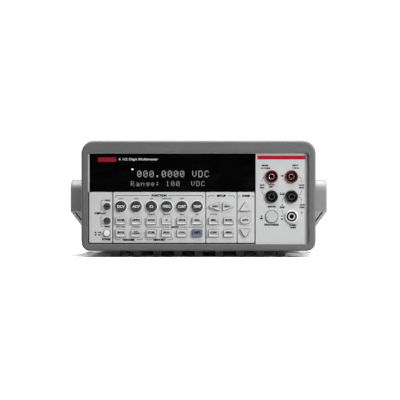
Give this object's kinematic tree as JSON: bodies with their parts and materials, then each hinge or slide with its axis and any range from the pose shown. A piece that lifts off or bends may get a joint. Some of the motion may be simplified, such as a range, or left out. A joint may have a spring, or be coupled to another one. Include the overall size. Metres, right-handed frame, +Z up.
{
  "type": "bench multimeter",
  "caption": "Half-rack bench multimeter with rubber bumpers, swinging carry handle, sprung keypad, smoked display window and shrouded test sockets.",
  "frame": {"origin": "centre of the footprint, on the plane that the bumper ribs stand on", "axes": "+Z up, front panel faces -Y, +X to the right as seen from the front"},
  "size_m": [0.2512, 0.374, 0.1111],
  "materials": {
    "silver_panel": "fine satin, moulded",
    "smoked_window": "polished smoked plate",
    "input_panel": "fine satin film",
    "bumper_rubber": "fine matt grain",
    "case_paint": "fine powder coat",
    "rear_paint": "fine powder coat",
    "handle_plastic": "fine moulded grain",
    "pivot_plastic": "fine moulded grain",
    "zinc_steel": "bright zinc",
    "circuit_board": "green solder mask",
    "component_plastic": "moulded",
    "core_steel": "varnished laminations",
    "display_glass": "dark glass",
    "mat_rubber": "silicone",
    "red_plastic": "moulded, slight gloss",
    "black_plastic": "moulded, slight gloss",
    "white_plastic": "moulded, slight gloss",
    "contact_metal": "nickel plated brass",
    "nickel": "nickel plated",
    "power_key": "moulded, slight gloss",
    "selector_key": "moulded",
    "dark_key": "satin",
    "light_key": "satin",
    "shift_key": "satin"
  },
  "bodies": {
    "chassis": {"front_bezel": "silver_panel", "display_window": "smoked_window", "input_overlay": "input_panel", "front_bumper": "bumper_rubber", "rear_bumper": "bumper_rubber", "case_cover": "case_paint", "rear_panel": "rear_paint", "handle_pivots": "pivot_plastic", "chassis_tray": "zinc_steel", "main_board": "circuit_board", "board_parts": "component_plastic", "power_transformer": "core_steel", "shield_can": "zinc_steel", "keypad_board": "circuit_board", "display_module": "display_glass", "keypad_mat": "mat_rubber", "red_jacks": "red_plastic", "black_jacks": "black_plastic", "white_jacks": "white_plastic", "socket_contacts": "contact_metal", "bnc_connectors": "nickel", "usb_port": "nickel", "mains_inlet": "black_plastic", "machine_screws": "nickel", "input_selector_switch": "component_plastic"},
    "handle": {"carry_handle": "handle_plastic"},
    "power_button": {"power_button": "power_key", "power_pushrod": "white_plastic"},
    "front_rear_button": {"front_rear_button": "selector_key"},
    "fuse_drawer": {"fuse_drawer": "black_plastic"},
    "current_fuse_cap": {"current_fuse_cap": "black_plastic"},
    "key_dc_volts": {"key_dc_volts": "dark_key"},
    "key_ac_volts": {"key_ac_volts": "dark_key"},
    "key_ohms": {"key_ohms": "dark_key"},
    "key_frequency": {"key_frequency": "dark_key"},
    "key_continuity": {"key_continuity": "dark_key"},
    "key_temperature": {"key_temperature": "dark_key"},
    "key_display_previous": {"key_display_previous": "dark_key"},
    "key_display_next": {"key_display_next": "dark_key"},
    "key_filter": {"key_filter": "light_key"},
    "key_digits": {"key_digits": "light_key"},
    "key_ratio": {"key_ratio": "light_key"},
    "key_percent": {"key_percent": "light_key"},
    "key_scale": {"key_scale": "light_key"},
    "key_null": {"key_null": "light_key"},
    "key_single": {"key_single": "light_key"},
    "key_auto_trigger": {"key_auto_trigger": "light_key"},
    "key_store": {"key_store": "light_key"},
    "key_recall": {"key_recall": "light_key"},
    "key_local": {"key_local": "light_key"},
    "key_escape": {"key_escape": "light_key"},
    "key_enter": {"key_enter": "light_key"},
    "key_config": {"key_config": "light_key"},
    "key_menu": {"key_menu": "light_key"},
    "key_previous": {"key_previous": "light_key"},
    "key_next": {"key_next": "light_key"},
    "key_range_up": {"key_range_up": "light_key"},
    "key_range_auto": {"key_range_auto": "light_key"},
    "key_range_down": {"key_range_down": "light_key"},
    "key_shift": {"key_shift": "shift_key"}
  },
  "joints": [
    {"name": "handle_hinge", "type": "hinge", "parent": "chassis", "child": "handle", "pos_m": [0, -0.095, 0.056], "axis": [-1, 0, 0], "range_deg": [0, 157]},
    {"name": "key_dc_volts_press", "type": "slide", "parent": "chassis", "child": "key_dc_volts", "axis": [0, 1, 0], "range_m": [0, 0.001], "stiffness_N_per_m": 200},
    {"name": "key_ac_volts_press", "type": "slide", "parent": "chassis", "child": "key_ac_volts", "axis": [0, 1, 0], "range_m": [0, 0.001], "stiffness_N_per_m": 200},
    {"name": "key_ohms_press", "type": "slide", "parent": "chassis", "child": "key_ohms", "axis": [0, 1, 0], "range_m": [0, 0.001], "stiffness_N_per_m": 200},
    {"name": "key_frequency_press", "type": "slide", "parent": "chassis", "child": "key_frequency", "axis": [0, 1, 0], "range_m": [0, 0.001], "stiffness_N_per_m": 200},
    {"name": "key_continuity_press", "type": "slide", "parent": "chassis", "child": "key_continuity", "axis": [0, 1, 0], "range_m": [0, 0.001], "stiffness_N_per_m": 200},
    {"name": "key_temperature_press", "type": "slide", "parent": "chassis", "child": "key_temperature", "axis": [0, 1, 0], "range_m": [0, 0.001], "stiffness_N_per_m": 200},
    {"name": "key_display_previous_press", "type": "slide", "parent": "chassis", "child": "key_display_previous", "axis": [0, 1, 0], "range_m": [0, 0.001], "stiffness_N_per_m": 200},
    {"name": "key_display_next_press", "type": "slide", "parent": "chassis", "child": "key_display_next", "axis": [0, 1, 0], "range_m": [0, 0.001], "stiffness_N_per_m": 200},
    {"name": "key_filter_press", "type": "slide", "parent": "chassis", "child": "key_filter", "axis": [0, 1, 0], "range_m": [0, 0.001], "stiffness_N_per_m": 200},
    {"name": "key_digits_press", "type": "slide", "parent": "chassis", "child": "key_digits", "axis": [0, 1, 0], "range_m": [0, 0.001], "stiffness_N_per_m": 200},
    {"name": "key_ratio_press", "type": "slide", "parent": "chassis", "child": "key_ratio", "axis": [0, 1, 0], "range_m": [0, 0.001], "stiffness_N_per_m": 200},
    {"name": "key_percent_press", "type": "slide", "parent": "chassis", "child": "key_percent", "axis": [0, 1, 0], "range_m": [0, 0.001], "stiffness_N_per_m": 200},
    {"name": "key_scale_press", "type": "slide", "parent": "chassis", "child": "key_scale", "axis": [0, 1, 0], "range_m": [0, 0.001], "stiffness_N_per_m": 200},
    {"name": "key_null_press", "type": "slide", "parent": "chassis", "child": "key_null", "axis": [0, 1, 0], "range_m": [0, 0.001], "stiffness_N_per_m": 200},
    {"name": "key_single_press", "type": "slide", "parent": "chassis", "child": "key_single", "axis": [0, 1, 0], "range_m": [0, 0.001], "stiffness_N_per_m": 200},
    {"name": "key_auto_trigger_press", "type": "slide", "parent": "chassis", "child": "key_auto_trigger", "axis": [0, 1, 0], "range_m": [0, 0.001], "stiffness_N_per_m": 200},
    {"name": "key_store_press", "type": "slide", "parent": "chassis", "child": "key_store", "axis": [0, 1, 0], "range_m": [0, 0.001], "stiffness_N_per_m": 200},
    {"name": "key_recall_press", "type": "slide", "parent": "chassis", "child": "key_recall", "axis": [0, 1, 0], "range_m": [0, 0.001], "stiffness_N_per_m": 200},
    {"name": "key_local_press", "type": "slide", "parent": "chassis", "child": "key_local", "axis": [0, 1, 0], "range_m": [0, 0.001], "stiffness_N_per_m": 200},
    {"name": "key_escape_press", "type": "slide", "parent": "chassis", "child": "key_escape", "axis": [0, 1, 0], "range_m": [0, 0.001], "stiffness_N_per_m": 200},
    {"name": "key_enter_press", "type": "slide", "parent": "chassis", "child": "key_enter", "axis": [0, 1, 0], "range_m": [0, 0.001], "stiffness_N_per_m": 200},
    {"name": "key_config_press", "type": "slide", "parent": "chassis", "child": "key_config", "axis": [0, 1, 0], "range_m": [0, 0.001], "stiffness_N_per_m": 200},
    {"name": "key_menu_press", "type": "slide", "parent": "chassis", "child": "key_menu", "axis": [0, 1, 0], "range_m": [0, 0.001], "stiffness_N_per_m": 200},
    {"name": "key_previous_press", "type": "slide", "parent": "chassis", "child": "key_previous", "axis": [0, 1, 0], "range_m": [0, 0.001], "stiffness_N_per_m": 200},
    {"name": "key_next_press", "type": "slide", "parent": "chassis", "child": "key_next", "axis": [0, 1, 0], "range_m": [0, 0.001], "stiffness_N_per_m": 200},
    {"name": "key_range_up_press", "type": "slide", "parent": "chassis", "child": "key_range_up", "axis": [0, 1, 0], "range_m": [0, 0.001], "stiffness_N_per_m": 200},
    {"name": "key_range_auto_press", "type": "slide", "parent": "chassis", "child": "key_range_auto", "axis": [0, 1, 0], "range_m": [0, 0.001], "stiffness_N_per_m": 200},
    {"name": "key_range_down_press", "type": "slide", "parent": "chassis", "child": "key_range_down", "axis": [0, 1, 0], "range_m": [0, 0.001], "stiffness_N_per_m": 200},
    {"name": "key_shift_press", "type": "slide", "parent": "chassis", "child": "key_shift", "axis": [0, 1, 0], "range_m": [0, 0.001], "stiffness_N_per_m": 200},
    {"name": "power_button_press", "type": "slide", "parent": "chassis", "child": "power_button", "axis": [0, 1, 0], "range_m": [0, 0.003], "stiffness_N_per_m": 150},
    {"name": "front_rear_button_press", "type": "slide", "parent": "chassis", "child": "front_rear_button", "axis": [0, 1, 0], "range_m": [0, 0.003], "stiffness_N_per_m": 150},
    {"name": "fuse_drawer_slide", "type": "slide", "parent": "chassis", "child": "fuse_drawer", "axis": [0, 1, 0], "range_m": [0, 0.016]},
    {"name": "fuse_cap_turn", "type": "hinge", "parent": "chassis", "child": "current_fuse_cap", "pos_m": [0.06975, 0.1735, 0.0387], "axis": [0, 1, 0], "range_deg": [0, 90]}
  ]
}
